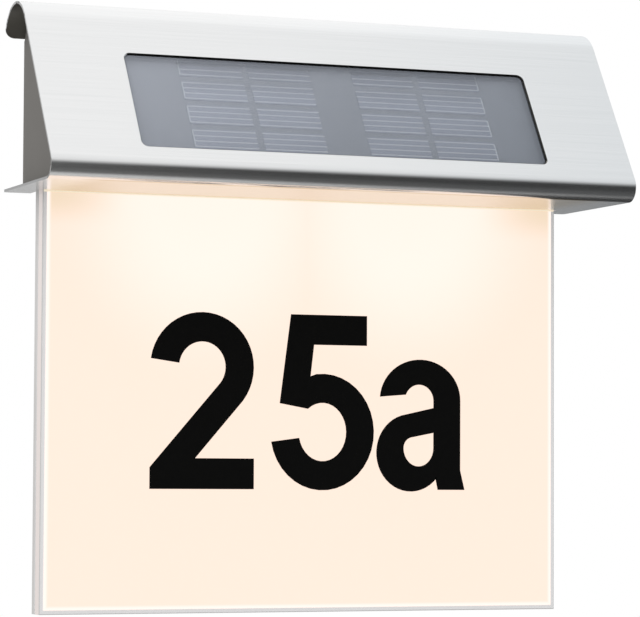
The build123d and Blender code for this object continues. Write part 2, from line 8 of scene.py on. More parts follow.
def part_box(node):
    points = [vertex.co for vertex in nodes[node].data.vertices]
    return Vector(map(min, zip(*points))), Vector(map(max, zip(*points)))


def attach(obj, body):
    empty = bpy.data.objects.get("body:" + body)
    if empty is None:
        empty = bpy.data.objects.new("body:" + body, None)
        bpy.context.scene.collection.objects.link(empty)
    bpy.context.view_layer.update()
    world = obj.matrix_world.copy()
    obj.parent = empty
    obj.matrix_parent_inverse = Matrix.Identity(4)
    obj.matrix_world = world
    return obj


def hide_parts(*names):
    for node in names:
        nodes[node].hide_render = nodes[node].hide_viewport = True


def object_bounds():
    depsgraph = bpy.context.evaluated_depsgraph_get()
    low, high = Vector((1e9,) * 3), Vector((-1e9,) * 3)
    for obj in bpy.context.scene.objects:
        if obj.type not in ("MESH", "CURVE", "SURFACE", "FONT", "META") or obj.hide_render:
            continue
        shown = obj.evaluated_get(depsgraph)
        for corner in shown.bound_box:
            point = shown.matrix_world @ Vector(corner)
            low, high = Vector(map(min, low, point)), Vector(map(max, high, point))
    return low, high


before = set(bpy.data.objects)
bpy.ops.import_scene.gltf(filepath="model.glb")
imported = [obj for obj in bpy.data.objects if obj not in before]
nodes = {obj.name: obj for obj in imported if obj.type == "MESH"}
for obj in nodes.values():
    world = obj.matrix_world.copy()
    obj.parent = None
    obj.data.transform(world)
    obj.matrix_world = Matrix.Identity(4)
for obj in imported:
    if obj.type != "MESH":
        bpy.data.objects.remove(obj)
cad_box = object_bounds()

# Camera. A long lens in front of the lamp, to its left and a little below the panel's middle. Verticals
# stay nearly upright, and the underside of the hood's flange just shows.
picture_width, focal_px, sensor_mm = 640, 3087.6, 36.0
eye = Vector((-0.3657, -0.9612, -0.1356))
turn, tilt, roll = -0.3726, 0.0549, 0.0049
nearest, farthest = 0.01, 30


def placed(name, data):
    """New object that holds the data, linked to the scene."""
    thing = bpy.data.objects.new(name, data)
    bpy.context.scene.collection.objects.link(thing)
    return thing


ahead = Vector((-math.sin(turn) * math.cos(tilt), math.cos(turn) * math.cos(tilt), math.sin(tilt)))
level_right = Vector((math.cos(turn), math.sin(turn), 0))
level_up = level_right.cross(ahead)
right = level_right * math.cos(roll) + level_up * math.sin(roll)
up = right.cross(ahead)

lens = bpy.data.cameras.new("photo_camera")
lens.sensor_fit = "HORIZONTAL"
lens.sensor_width = sensor_mm
lens.lens = focal_px / picture_width * sensor_mm
lens.clip_start, lens.clip_end = nearest, farthest
camera = placed("photo_camera", lens)
camera.matrix_world = Matrix.Translation(eye) @ Matrix((right, up, -ahead)).transposed().to_4x4()
bpy.context.scene.camera = camera
bpy.context.scene.view_settings.view_transform = "Standard"


# Hood. One sheet of stainless steel, brushed along its length, punched for the window and then bent. It
# is satin bright outside and duller inside. Painted shade darkens its inside and the window's cut edges
# at its top and right, and a painted reflection of the panel's warm light lies under its flange.
class Value:
    """A node's output. Sums on it add Math nodes to its tree."""

    def __init__(self, owner, node, output=0):
        self.owner = owner
        self.source = node
        self.socket = node.outputs[output]

    def output(self, name):
        return Value(self.owner, self.source, name)

    def maths(self, operation, first, second=0.0):
        return self.owner.node("ShaderNodeMath", {"operation": operation}, {0: first, 1: second})

    def at_least(self, other):
        return self.maths("MAXIMUM", self, other)

    def at_most(self, other):
        return self.maths("MINIMUM", self, other)

    def __abs__(self):
        return self.maths("ABSOLUTE", self)

    def __add__(self, other):
        return self.maths("ADD", self, other)

    def __sub__(self, other):
        return self.maths("SUBTRACT", self, other)

    def __rsub__(self, other):
        return self.maths("SUBTRACT", other, self)

    def __mul__(self, other):
        return self.maths("MULTIPLY", self, other)

    def __truediv__(self, other):
        return self.maths("DIVIDE", self, other)

    def __pow__(self, other):
        return self.maths("POWER", self, other)

    def __gt__(self, other):
        return self.maths("GREATER_THAN", self, other)

    def __lt__(self, other):
        return self.maths("LESS_THAN", self, other)

    __radd__ = __add__
    __rmul__ = __mul__


class NodeTree:
    """A tree of nodes, which node() adds to."""

    def __init__(self, tree):
        self.tree = tree

    def node(self, kind, settings=None, sockets=None):
        """Add a node, set its settings, then give its sockets values or links."""
        node = self.tree.nodes.new(kind)
        for name, value in (settings or {}).items():
            if name == "stops":
                self.set_stops(node.color_ramp, value)
            else:
                setattr(node, name, value)
        for name, value in (sockets or {}).items():
            if isinstance(value, Value):
                self.tree.links.new(value.socket, node.inputs[name])
            else:
                node.inputs[name].default_value = value
        return Value(self, node)

    def set_stops(self, ramp, stops):
        while len(ramp.elements) < len(stops):
            ramp.elements.new(1.0)
        for element, (position, colour) in zip(ramp.elements, stops):
            element.position = position
            element.color = (*colour, 1.0)


class Finish(NodeTree):
    """A material in the making, with its Principled shader and its patterns on Object coordinates."""

    def __init__(self, name, **settings):
        self.material = bpy.data.materials.new(name)
        self.material.use_nodes = True
        super().__init__(self.material.node_tree)
        self.shader = self.tree.nodes["Principled BSDF"]
        for name, value in settings.items():
            self.shader.inputs[name.replace("_", " ").title()].default_value = value

    def place(self, stretch=(1, 1, 1)):
        """Object coordinates in metres, multiplied by a factor for each axis."""
        coordinates = self.node("ShaderNodeTexCoord").output("Object")
        return self.node("ShaderNodeMapping", {}, {"Vector": coordinates, "Scale": stretch})

    def place_parts(self):
        """The place's X, Y and Z as three values."""
        parts = self.node("ShaderNodeSeparateXYZ", {}, {0: self.place()})
        return [parts.output(axis) for axis in "XYZ"]

    def dot(self, first, second):
        """Dot product of two vectors."""
        product = self.node("ShaderNodeVectorMath", {"operation": "DOT_PRODUCT"}, {0: first, 1: second})
        return product.output("Value")

    def noise(self, scale, detail=2.0, stretch=(1, 1, 1)):
        return self.node(
            "ShaderNodeTexNoise", {}, {"Vector": self.place(stretch), "Scale": scale, "Detail": detail}
        )

    def blend(self, share, first, second):
        """Mix of two colours by a share from 0 to 1."""
        first = first if isinstance(first, Value) else (*first, 1.0)
        second = second if isinstance(second, Value) else (*second, 1.0)
        mixed = self.node("ShaderNodeMix", {"data_type": "RGBA"}, {"Factor": share, 6: first, 7: second})
        return mixed.output(2)

    def bump(self, height, strength, distance):
        return self.node(
            "ShaderNodeBump", {}, {"Height": height, "Strength": strength, "Distance": distance}
        )

    def feed(self, name, value):
        self.tree.links.new(value.socket, self.shader.inputs[name])

    def tint(self, share, first, second):
        """Base colour between two paints, by a share from 0 to 1."""
        self.feed("Base Color", self.blend(share, first, second))


def paint(red, green, blue):
    """Linear colour from the 0 to 255 values seen on a screen."""
    return tuple(((c / 255 + 0.055) / 1.055) ** 2.4 for c in (red, green, blue))


def fade(value, full, none):
    """Smooth change from 1 at one value to 0 at another."""
    return value.owner.node(
        "ShaderNodeMapRange", {"interpolation_type": "SMOOTHSTEP"},
        {"Value": value, "From Min": full, "From Max": none, "To Min": 1.0, "To Max": 0.0},
    )


def wear(node_name, finish):
    """Give a CAD node its finish."""
    materials = nodes[node_name].data.materials
    materials.clear()
    materials.append(finish.material)


# The hood's slope is that of the solar module's cover, which lies behind it.
glass_low, glass_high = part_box("solar_glass")
facing_front = [face for face in nodes["solar_glass"].data.polygons if face.normal.y < 0]
front = max(facing_front, key=lambda face: face.area)
slope_angle = math.atan2(front.normal.z, -front.normal.y)
slope_up = Vector((0, math.sin(slope_angle), math.cos(slope_angle)))

hood_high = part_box("hood")[1]
roll_radius = 0.013
roll_axis = Vector((0, hood_high.y - roll_radius, hood_high.z - roll_radius))

brushed = Finish("brushed_steel", metallic=1.0)
brush_lines = brushed.noise(9000, 1.0, stretch=(0.012, 1, 1))
long_lines = brushed.noise(2200, 3.0, stretch=(0.008, 1, 1))
soft_clouds = brushed.noise(18, stretch=(0.5, 1, 1))
outwards = brushed.node("ShaderNodeTexCoord").output("Normal")

# The inside is made of the faces that look towards the roll's axis.
from_axis = brushed.node(
    "ShaderNodeVectorMath", {"operation": "SUBTRACT"}, {0: brushed.place((0, 1, 1)), 1: roll_axis}
)
inner_face = brushed.dot(outwards, from_axis) < 0.0

# The window's cut edges that look towards its lower left corner get painted shade, nearly black.
edge_facing = 0.3
facing_corner = brushed.dot(outwards, Vector((-1, 0, 0)) - slope_up)
x, _, z = brushed.place_parts()
beside_glass = (x > glass_low.x) * (x < glass_high.x)
over_glass = (z > glass_low.z) * (z < glass_high.z)
painted_shade_on_cut_edge = beside_glass * over_glass * (facing_corner > edge_facing) * (1.0 - inner_face)

# The flange's underside gets a painted reflection of the panel's warm light, out to the panel's sides.
spill_facing, spill_full, spill_end = 0.95, 0.080, 0.094
facing_down = brushed.dot(outwards, (0, 0, -1)) > spill_facing
painted_panel_reflection = facing_down * fade(abs(x), spill_full, spill_end)

streaks = brushed.blend(long_lines, paint(241, 242, 242), paint(252, 252, 252))
# Painted shade: the window's upper and right cut edges are nearly black.
outside = brushed.blend(painted_shade_on_cut_edge, streaks, paint(60, 59, 57))
# Painted reflection of the lit panel on the flange's underside.
outside = brushed.blend(painted_panel_reflection, outside, paint(222, 210, 188))
# The inside's darker colour is painted shade; its higher roughness, below, is its duller finish.
brushed.feed("Base Color", brushed.blend(inner_face, outside, paint(138, 136, 130)))
brushed.feed("Roughness", 0.18 + 0.04 * long_lines + 0.03 * soft_clouds + 0.2 * inner_face)
brushed.feed("Normal", brushed.bump(brush_lines, 0.25, 0.00002))
wear("hood", brushed)

# Foam. A die-cut gasket of black closed-cell foam seals the window, and two strips of the same foam
# tape hold the hood on the housing. The cells show as fine pits.
foam = Finish("black_foam", roughness=0.95)
foam_cells = foam.node("ShaderNodeTexVoronoi", {}, {"Vector": foam.place(), "Scale": 2500.0})
foam.tint(foam_cells, paint(9, 9, 10), paint(30, 30, 31))
foam.feed("Normal", foam.bump(foam_cells, 0.6, 0.0001))
for name in ("window_gasket", "hood_tape", "cover_gasket", "door_gasket"):
    wear(name, foam)

# Solar module. Silicon cells in two groups lie on a pale board under a clear cover. A lens moulded on
# the cover fills the gasket's opening, and its fine satin surface shows the sky as a pale grey haze. The
# lens, cells and board are also painted darker towards the right and the bottom, a painted reflection.
lens_width, lens_height, lens_corner = 0.1386, 0.0371, 0.0018
lens_rise, lens_round, lens_shift = 0.0016, 0.0002, -0.0001
glass_thickness = 0.001
glass_middle = (glass_low + glass_high) / 2 + front.normal * glass_thickness / 2


def arc(centre, radii, start, stop, steps=28):
    """Points on an ellipse's arc, with its angles in degrees from +X."""
    angles = [math.radians(start + (stop - start) * i / steps) for i in range(steps + 1)]
    return [(centre[0] + radii[0] * math.cos(a), centre[1] + radii[1] * math.sin(a)) for a in angles]


def window_shares(finish):
    """Shares from 0 to 1 along the window and down it."""
    x, _, z = finish.place_parts()
    along = (x - glass_low.x) / (glass_high.x - glass_low.x)
    down = (glass_high.z - z) / (glass_high.z - glass_low.z)
    return along, down


lens_outline = []
for quarter, (rightwards, upwards) in enumerate(((1, 1), (-1, 1), (-1, -1), (1, -1))):
    corner = (
        rightwards * (lens_width / 2 - lens_corner) + lens_shift,
        upwards * (lens_height / 2 - lens_corner) + lens_shift,
    )
    lens_outline += arc(corner, (lens_corner, lens_corner), 90 * quarter, 90 * quarter + 90, steps=6)
lens_mesh = bmesh.new()
lens_points = [glass_middle + Vector((along, 0, 0)) + slope_up * upwards for along, upwards in lens_outline]
lens_face = lens_mesh.faces.new([lens_mesh.verts.new(point) for point in lens_points])
raised = bmesh.ops.extrude_face_region(lens_mesh, geom=[lens_face])
raised_verts = [part for part in raised["geom"] if isinstance(part, bmesh.types.BMVert)]
bmesh.ops.translate(lens_mesh, vec=front.normal * lens_rise, verts=raised_verts)
bmesh.ops.recalc_face_normals(lens_mesh, faces=lens_mesh.faces[:])
lens_data = bpy.data.meshes.new("window_lens")
lens_mesh.to_mesh(lens_data)
lens_mesh.free()
window_lens = placed("window_lens", lens_data)
softened = window_lens.modifiers.new("softened_edge", "BEVEL")
softened.width, softened.segments = lens_round, 2

satin = Finish(
    "satin_lens", roughness=0.14, alpha=0.26, metallic=0.4, coat_weight=0.5, coat_roughness=0.08
)
along, down = window_shares(satin)
# Random tone, and a painted reflection that darkens the lens towards the right and the bottom.
tone_and_painted_haze = 0.5 * satin.noise(14, 3.0) + 0.45 * along + 0.3 * down
satin.tint(tone_and_painted_haze, paint(226, 231, 243), paint(158, 165, 176))
satin.feed("Normal", satin.bump(satin.noise(900), 0.12, 0.00004))
lens_data.materials.append(satin.material)
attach(window_lens, "lamp")

clear_cover = Finish("clear_cover", roughness=0.12, alpha=0.05)
clear_cover.tint(clear_cover.noise(30), paint(150, 156, 166), paint(170, 176, 186))
wear("solar_glass", clear_cover)

silicon = Finish("silicon", roughness=0.3, metallic=0.3)
along, down = window_shares(silicon)
# Random tone, and a painted reflection that darkens the cells towards the right and the bottom.
tone_and_painted_reflection = 0.2 * silicon.noise(700, 3.0) + 0.55 * along + 0.25 * down
silicon.tint(tone_and_painted_reflection, paint(202, 209, 226), paint(156, 163, 180))
wear("solar_cells", silicon)

solder_mask = Finish("grey_solder_mask", roughness=0.45)
along, down = window_shares(solder_mask)
# Random tone, and a painted reflection that darkens the board towards the right and the bottom.
tone_and_painted_reflection = 0.2 * solder_mask.noise(300) + 0.45 * along + 0.35 * down
solder_mask.tint(tone_and_painted_reflection, paint(205, 212, 223), paint(145, 152, 161))
wear("solar_backing", solder_mask)


# Cell contacts. Fine silver lines are printed along each cell, and a bar joins their ends at the left
# side of the first column of each row and at the right side of the last.
class Recipe(NodeTree):
    """A Geometry Nodes tree in the making, with named inputs for its sizes."""

    def __init__(self, name, labels):
        super().__init__(bpy.data.node_groups.new(name, "GeometryNodeTree"))
        interface = self.tree.interface
        interface.new_socket("Places", in_out="INPUT", socket_type="NodeSocketGeometry")
        interface.new_socket("Finished", in_out="OUTPUT", socket_type="NodeSocketGeometry")
        self.identifiers = {}
        for label in labels:
            socket = interface.new_socket(label, in_out="INPUT", socket_type="NodeSocketFloat")
            self.identifiers[label] = socket.identifier
        self.given = self.node("NodeGroupInput")
        self.sizes = {label: self.given.output(label) for label in labels}
        self.result = self.tree.nodes.new("NodeGroupOutput")

    def vector(self, x=0.0, y=0.0, z=0.0):
        return self.node("ShaderNodeCombineXYZ", {}, {"X": x, "Y": y, "Z": z})

    def moved(self, shape, offset=(0, 0, 0), turned=(0, 0, 0)):
        return self.node(
            "GeometryNodeTransform", {}, {"Geometry": shape, "Translation": offset, "Rotation": turned}
        )

    def on_points(self, points, shape):
        return self.node("GeometryNodeInstanceOnPoints", {}, {"Points": points, "Instance": shape})

    def link_all(self, shapes, node, socket):
        """Link several shapes to a socket that takes many."""
        for shape in shapes:
            self.tree.links.new(shape.socket, node.inputs[socket])

    def finish_with(self, shape, material):
        """End the tree with the shape on every place, as plain geometry that wears a material."""
        instances = self.on_points(self.given.output("Places"), shape)
        solid = self.node("GeometryNodeRealizeInstances", {}, {"Geometry": instances})
        dressed = self.node("GeometryNodeSetMaterial", {}, {"Geometry": solid, "Material": material})
        self.tree.links.new(dressed.socket, self.result.inputs[0])


def grown(name, places, recipe, sizes):
    """Plain mesh object that a recipe grows on a list of places."""
    points = bpy.data.meshes.new(name)
    points.from_pydata(places, [], [])
    piece = placed(name, points)
    modifier = piece.modifiers.new("recipe", "NODES")
    modifier.node_group = recipe.tree
    for label, size in sizes.items():
        modifier[recipe.identifiers[label]] = size
    evaluated = piece.evaluated_get(bpy.context.evaluated_depsgraph_get())
    piece.data = bpy.data.meshes.new_from_object(evaluated)
    piece.modifiers.clear()
    piece.data.name = name
    return piece


def islands(node_name):
    """Lowest and highest corner of each separate solid of a CAD node."""
    same_point, sorting_digits = 1e-7, 6
    mesh = bmesh.new()
    mesh.from_mesh(nodes[node_name].data)
    bmesh.ops.remove_doubles(mesh, verts=mesh.verts, dist=same_point)
    found, waiting = [], set(mesh.verts)
    while waiting:
        island, edge_of_island = set(), [waiting.pop()]
        while edge_of_island:
            vert = edge_of_island.pop()
            island.add(vert)
            for edge in vert.link_edges:
                other = edge.other_vert(vert)
                if other in waiting:
                    waiting.discard(other)
                    edge_of_island.append(other)
        corners = [v.co for v in island]
        low = Vector([min(c[i] for c in corners) for i in range(3)])
        high = Vector([max(c[i] for c in corners) for i in range(3)])
        found.append((low, high))
    mesh.free()
    return sorted(found, key=lambda box: tuple(round(v, sorting_digits) for v in box[0]))


finger_count, finger_pitch, finger_width = 4, 0.00215, 0.00037
bar_width, bar_share = 0.0004, 0.85
print_height = 0.00003
cell_thickness = 0.00025

cells = islands("solar_cells")
cell_size = cells[0][1] - cells[0][0]
cell_height = (cell_size.y - cell_thickness * math.cos(slope_angle)) / math.sin(slope_angle)
cell_faces = [(low + high) / 2 + front.normal * cell_thickness / 2 for low, high in cells]

silver = Finish("silver_print", roughness=0.3, metallic=0.9)
silver.tint(silver.noise(900), paint(236, 243, 254), paint(243, 249, 255))

lines = Recipe("cell_lines", ("Length", "Width", "Height", "Pitch", "Count", "Slope"))
line_size = lines.vector(lines.sizes["Length"], lines.sizes["Height"], lines.sizes["Width"])
one_line = lines.node("GeometryNodeMeshCube", {}, {"Size": line_size})
reach = lines.sizes["Pitch"] * (lines.sizes["Count"] - 1.0) / 2.0
row = lines.node(
    "GeometryNodeMeshLine", {"mode": "OFFSET"},
    {"Count": lines.sizes["Count"], "Start Location": lines.vector(0, 0, 0 - reach),
     "Offset": lines.vector(0, 0, lines.sizes["Pitch"])},
)
upright_lines = lines.on_points(row, one_line)
lines.finish_with(
    lines.moved(upright_lines, turned=lines.vector(0 - lines.sizes["Slope"])), silver.material
)

fingers = grown(
    "cell_fingers", cell_faces, lines,
    {"Length": cell_size.x, "Width": finger_width, "Height": print_height, "Pitch": finger_pitch,
     "Count": finger_count, "Slope": slope_angle},
)
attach(fingers, "lamp")

left_end = min(low.x for low, high in cells)
right_end = max(high.x for low, high in cells)
bar_places = [
    Vector((end, middle.y, middle.z))
    for middle in cell_faces for end in (left_end, right_end)
    if abs(middle.x - end) < cell_size.x
]
busbars = grown(
    "cell_busbars", bar_places, lines,
    {"Length": bar_width, "Width": bar_share * cell_height, "Height": 2 * print_height, "Pitch": 0.0,
     "Count": 1, "Slope": slope_angle},
)
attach(busbars, "lamp")

# Plastic mouldings. Housing, clamp, rear cover and battery door are grey ABS with a fine spark-eroded
# texture from the mould.
moulded = Finish("grey_abs", roughness=0.55)
moulded.tint(moulded.noise(60, 3.0), paint(124, 121, 117), paint(132, 129, 125))
moulded.feed("Normal", moulded.bump(moulded.noise(3500), 0.35, 0.00006))
for name in ("housing", "plate_clamp", "rear_cover", "battery_door"):
    wear(name, moulded)

# Number panel. A clear acrylic plate, lit through its top edge, in front of a white sheet and an opal
# back pane. A frosted white film on its front glows, brightest under the two LEDs and along its rim.
screen_low, screen_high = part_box("number_screen")
guide_low, guide_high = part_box("light_guide")
led_low, led_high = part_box("leds")

# Light leaks out of the clear plate, least in a line along the front and back of its cut edges, and
# most above the film.
edge_line = 0.00035
front_skin = edge_line / 10
clear = Finish("clear_acrylic", roughness=0.05, coat_weight=0.6, coat_roughness=0.02, emission_strength=1.0)
_, y, z = clear.place_parts()
on_front = y < guide_low.y + front_skin
on_edge = (y < guide_low.y + edge_line) + (y > guide_high.y - edge_line)
above_film = on_front * (z > screen_high.z)
polished = clear.blend(clear.noise(25), paint(240, 231, 228), paint(246, 238, 234))
# Painted shade: the plate's colour is darker in the same line along the cut edges.
painted_edge_shade = clear.blend(on_edge, polished, paint(205, 204, 203))
clear.feed("Base Color", clear.blend(on_front, painted_edge_shade, paint(222, 222, 223)))
leaked = clear.blend(on_front, paint(134, 125, 122), paint(116, 115, 114))
leaked = clear.blend(on_edge - on_front, leaked, paint(70, 70, 69))
clear.feed("Emission Color", clear.blend(above_film, leaked, paint(208, 190, 158)))
wear("light_guide", clear)

opal = Finish("opal_acrylic", roughness=0.12)
opal.tint(opal.noise(20), paint(232, 230, 228), paint(238, 237, 235))
wear("back_pane", opal)

white_film = Finish("white_film", roughness=0.6)
white_film.tint(white_film.noise(40), paint(238, 238, 238), paint(246, 246, 246))
wear("reflector_sheet", white_film)

# The film's glow has a lobe under each LED, dimmer top corners and a bright rim.
lobe_depth, lobe_width, lobe_full, lobe_end = 0.046, 0.042, 0.4, 1.35
corner_top, corner_bottom, corner_inner, corner_outer = 0.001, 0.012, 0.060, 0.088
rim_full, rim_end = 0.0004, 0.0016
lit = Finish("lit_film", roughness=0.5, emission_strength=1.12)
x, _, z = lit.place_parts()
depth = screen_high.z - z
lobes = []
for led_x in (led_low.x, led_high.x):
    sideways = (x - led_x) / lobe_width
    below = depth / lobe_depth
    lobes.append(fade((sideways * sideways + below * below) ** 0.5, lobe_full, lobe_end))
glow = lobes[0].at_least(lobes[1])
corner = fade(depth, corner_top, corner_bottom) * (1.0 - fade(abs(x), corner_inner, corner_outer))
from_rim = (screen_high.x - abs(x)).at_most(z - screen_low.z)
field = lit.blend(glow, paint(244, 222, 206), paint(250, 234, 223))
field = lit.blend(corner, field, paint(230, 209, 184))
lit.feed("Emission Color", lit.blend(fade(from_rim, rim_full, rim_end), field, paint(250, 236, 228)))
lit.tint(lit.noise(400), paint(66, 64, 61), paint(72, 70, 67))
wear("number_screen", lit)

# Characters. Cut from matt black vinyl and stuck on the frosted film, in the plain bold style that
# such sets of house numbers have. Outlines are in millimetres from each figure's left foot.
vinyl_thickness, foot_height = 0.00012, 0.0387
figures_foot = screen_low.z + foot_height
vinyl = Finish("black_vinyl", roughness=0.75)
vinyl.shader.inputs["Specular IOR Level"].default_value = 0.12
vinyl.tint(vinyl.noise(500), paint(5, 5, 4), paint(10, 10, 9))

two = [
    [(0, 7.0), (0, 0), (35.8, 0), (35.8, 10.0), (15.5, 10.0)]
    + arc((17.8, 39.7), (17.8, 17.8), -38, 172)
    + arc((17.8, 39.7), (8.0, 8.2), 172, -38)
]
five = [
    [(2.2, 28.2), (6.0, 57.5), (33.0, 57.5), (33.0, 47.6), (14.2, 47.6), (13.0, 37.2)]
    + arc((17.3, 18.9), (18.3, 19.2), 97, -170)
    + arc((17.3, 18.9), (8.4, 9.6), -168, 128)
]
small_a = [
    arc((15.8, 29.9), (14.6, 13.5), 176, 0)
    + [(30.4, 6.5), (32.0, 0), (22.2, 0), (21.3, 4.2)]
    + arc((12.4, 12.3), (12.4, 12.9), -40, -262)
    + [(20.6, 27.3)]
    + arc((15.4, 29.6), (5.2, 5.4), 0, 158),
    arc((15.2, 13.9), (5.4, 6.1), 0, -180) + arc((13.3, 13.9), (3.5, 3.6), 180, 95, steps=9)
    + [(20.6, 19.0)],
]


def sticker(name, outlines, left):
    """Flat figure on the front of the film, filled between its outlines."""
    mesh = bmesh.new()
    for outline in outlines:
        corners = [
            mesh.verts.new((left + x / 1000, screen_low.y, figures_foot + z / 1000)) for x, z in outline
        ]
        for corner, following in zip(corners, corners[1:] + corners[:1]):
            mesh.edges.new((corner, following))
    bmesh.ops.triangle_fill(mesh, edges=mesh.edges[:], use_beauty=True, normal=(0, -1, 0))
    for face in mesh.faces:
        if face.normal.y > 0:
            face.normal_flip()
    data = bpy.data.meshes.new(name)
    mesh.to_mesh(data)
    mesh.free()
    data.materials.append(vinyl.material)
    piece = placed(name, data)
    thickness = piece.modifiers.new("thickness", "SOLIDIFY")
    thickness.thickness = vinyl_thickness
    thickness.offset = 1.0
    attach(piece, "lamp")


sticker("figure_2", two, left=-0.0540)
sticker("figure_5", five, left=-0.0115)
sticker("figure_a", small_a, left=0.0250)

# Screws. Stainless pan heads with a pressed cross recess hold the clamp, the rear cover, the control
# board and the battery door. Each head is a short disc, cut to a dome by a ball.
stainless = Finish("stainless_screw", metallic=1.0)
lathe_marks = stainless.noise(2200)
stainless.tint(lathe_marks, paint(176, 176, 178), paint(200, 200, 201))
stainless.feed("Roughness", 0.22 + 0.12 * lathe_marks)

crown_share, recess_length, recess_depth = 0.65, 1.15, 1.2
shaft_sides, head_sides, ball_rings = 20, 36, 48
pan_head = Recipe(
    "pan_head_screws", ("Shaft radius", "Shaft length", "Head radius", "Head height", "Recess width", "Turn")
)
head_radius, head_height = pan_head.sizes["Head radius"], pan_head.sizes["Head height"]


def rod(sides, radius, length, middle):
    """Upright cylinder with its middle at a height."""
    upright = pan_head.node(
        "GeometryNodeMeshCylinder", {}, {"Vertices": sides, "Radius": radius, "Depth": length}
    )
    return pan_head.moved(upright.output("Mesh"), pan_head.vector(0, 0, middle))


shaft_length = pan_head.sizes["Shaft length"]
shaft = rod(shaft_sides, pan_head.sizes["Shaft radius"], shaft_length, 0 - shaft_length / 2.0)
disc = rod(head_sides, head_radius, head_height, head_height / 2.0)
crown = head_height * crown_share
ball_radius = (head_radius * head_radius + crown * crown) / (2.0 * crown)
ball = pan_head.node(
    "GeometryNodeMeshUVSphere", {}, {"Segments": head_sides, "Rings": ball_rings, "Radius": ball_radius}
)
ball = pan_head.moved(ball.output("Mesh"), pan_head.vector(0, 0, head_height - ball_radius))
head = pan_head.node("GeometryNodeMeshBoolean", {"operation": "INTERSECT", "solver": "EXACT"})
pan_head.link_all((disc, ball), head.source, "Mesh 2")

long_way, short_way = head_radius * recess_length, pan_head.sizes["Recess width"]
deep_way = head_height * recess_depth
recesses = []
for along_x, along_y in ((long_way, short_way), (short_way, long_way)):
    punch = pan_head.node("GeometryNodeMeshCube", {}, {"Size": pan_head.vector(along_x, along_y, deep_way)})
    recesses.append(pan_head.moved(punch, pan_head.vector(0, 0, head_height)))
recessed = pan_head.node(
    "GeometryNodeMeshBoolean", {"operation": "DIFFERENCE", "solver": "EXACT"}, {"Mesh 1": head}
)
pan_head.link_all(recesses, recessed.source, "Mesh 2")
screw = pan_head.node("GeometryNodeJoinGeometry")
pan_head.link_all((shaft, recessed), screw.source, 0)
pan_head.finish_with(
    pan_head.moved(screw, turned=pan_head.vector(pan_head.sizes["Turn"])), stainless.material
)

large = {"Shaft radius": 0.00145, "Head height": 0.0017, "Recess width": 0.0008}
small = {"Shaft radius": 0.00095, "Head height": 0.0011, "Recess width": 0.0005}
to_wall, to_front = -math.pi / 2, math.pi / 2
for name, body, kind, way in (
    ("clamp_screws", "lamp", large, to_wall),
    ("cover_screws", "lamp", large, to_wall),
    ("board_screws", "lamp", small, to_front),
    ("door_screws", "door", small, to_wall),
):
    boxes = islands(name)
    size = boxes[0][1] - boxes[0][0]
    seats = []
    for low, high in boxes:
        under_head = high.y - kind["Head height"] if way == to_wall else low.y + kind["Head height"]
        seats.append((low.x / 2 + high.x / 2, under_head, low.z / 2 + high.z / 2))
    group = grown(
        name + "_pan_head", seats, pan_head,
        {**kind, "Shaft length": size.y - kind["Head height"], "Head radius": size.x / 2, "Turn": way},
    )
    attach(group, body)
    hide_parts(name)

# Wall bracket. Two hooks are pressed out of a flat steel strip, which is powder coated black with a
# slight orange peel.
coated = Finish("black_powder_coat", roughness=0.42)
peel = coated.noise(1400)
coated.tint(peel, paint(32, 32, 33), paint(42, 42, 43))
coated.feed("Normal", coated.bump(peel, 0.4, 0.00008))
wear("wall_bracket", coated)

# Electronics. A white LED strip and control board with black components, and a black slide switch with
# a white knob. Its two positions are pad printed on the rear cover, one at each end of the knob's slot.
white_board = Finish("white_solder_mask", roughness=0.3)
white_board.tint(white_board.noise(120), paint(225, 226, 222), paint(236, 237, 233))
for name in ("led_board", "control_board"):
    wear(name, white_board)

phosphor = Finish(
    "led_phosphor", roughness=0.3, emission_color=(*paint(255, 236, 200), 1), emission_strength=3.0
)
phosphor.tint(phosphor.noise(900), paint(250, 220, 150), paint(255, 232, 170))
wear("leds", phosphor)

epoxy = Finish("black_epoxy", roughness=0.35)
epoxy.tint(epoxy.noise(800), paint(24, 24, 26), paint(34, 34, 36))
for name in ("board_components", "slide_switch"):
    wear(name, epoxy)

knob = Finish("white_knob", roughness=0.45)
knob.tint(knob.noise(900), paint(222, 221, 217), paint(232, 231, 228))
wear("switch_knob", knob)

pad_ink = Finish("white_pad_print", roughness=0.6)
pad_ink.tint(pad_ink.noise(900), paint(214, 213, 210), paint(226, 225, 222))
switch_low, switch_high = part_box("slide_switch")
switch_middle = (switch_low.z + switch_high.z) / 2
cover_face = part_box("rear_cover")[1].y
facing_wall = Matrix.Rotation(math.pi, 4, "Z") @ Matrix.Rotation(math.pi / 2, 4, "X")
letter_height, letter_rise, letter_gap = 0.0034, 0.00006, 0.0050
for words, middle_x in (("ON", switch_low.x - letter_gap), ("OFF", switch_high.x + letter_gap)):
    lettering = bpy.data.curves.new("switch_" + words, "FONT")
    lettering.body = words
    lettering.size, lettering.extrude = letter_height, letter_rise
    lettering.align_x, lettering.align_y = "CENTER", "CENTER"
    draft = placed("draft", lettering)
    printed = bpy.data.meshes.new_from_object(draft.evaluated_get(bpy.context.evaluated_depsgraph_get()))
    bpy.data.objects.remove(draft)
    printed.transform(Matrix.Translation((middle_x, cover_face, switch_middle)) @ facing_wall)
    printed.materials.clear()
    printed.materials.append(pad_ink.material)
    legend = placed("switch_" + words, printed)
    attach(legend, "lamp")

# Battery. One AA cell in a plain printed sleeve, bare at both ends, is held between two contacts of
# plated spring steel.
plated = Finish("plated_spring_steel", metallic=1.0)
plating = plated.noise(1200)
plated.tint(plating, paint(205, 200, 190), paint(225, 221, 212))
plated.feed("Roughness", 0.15 + 0.15 * plating)
for name in ("contact_positive", "contact_negative"):
    wear(name, plated)

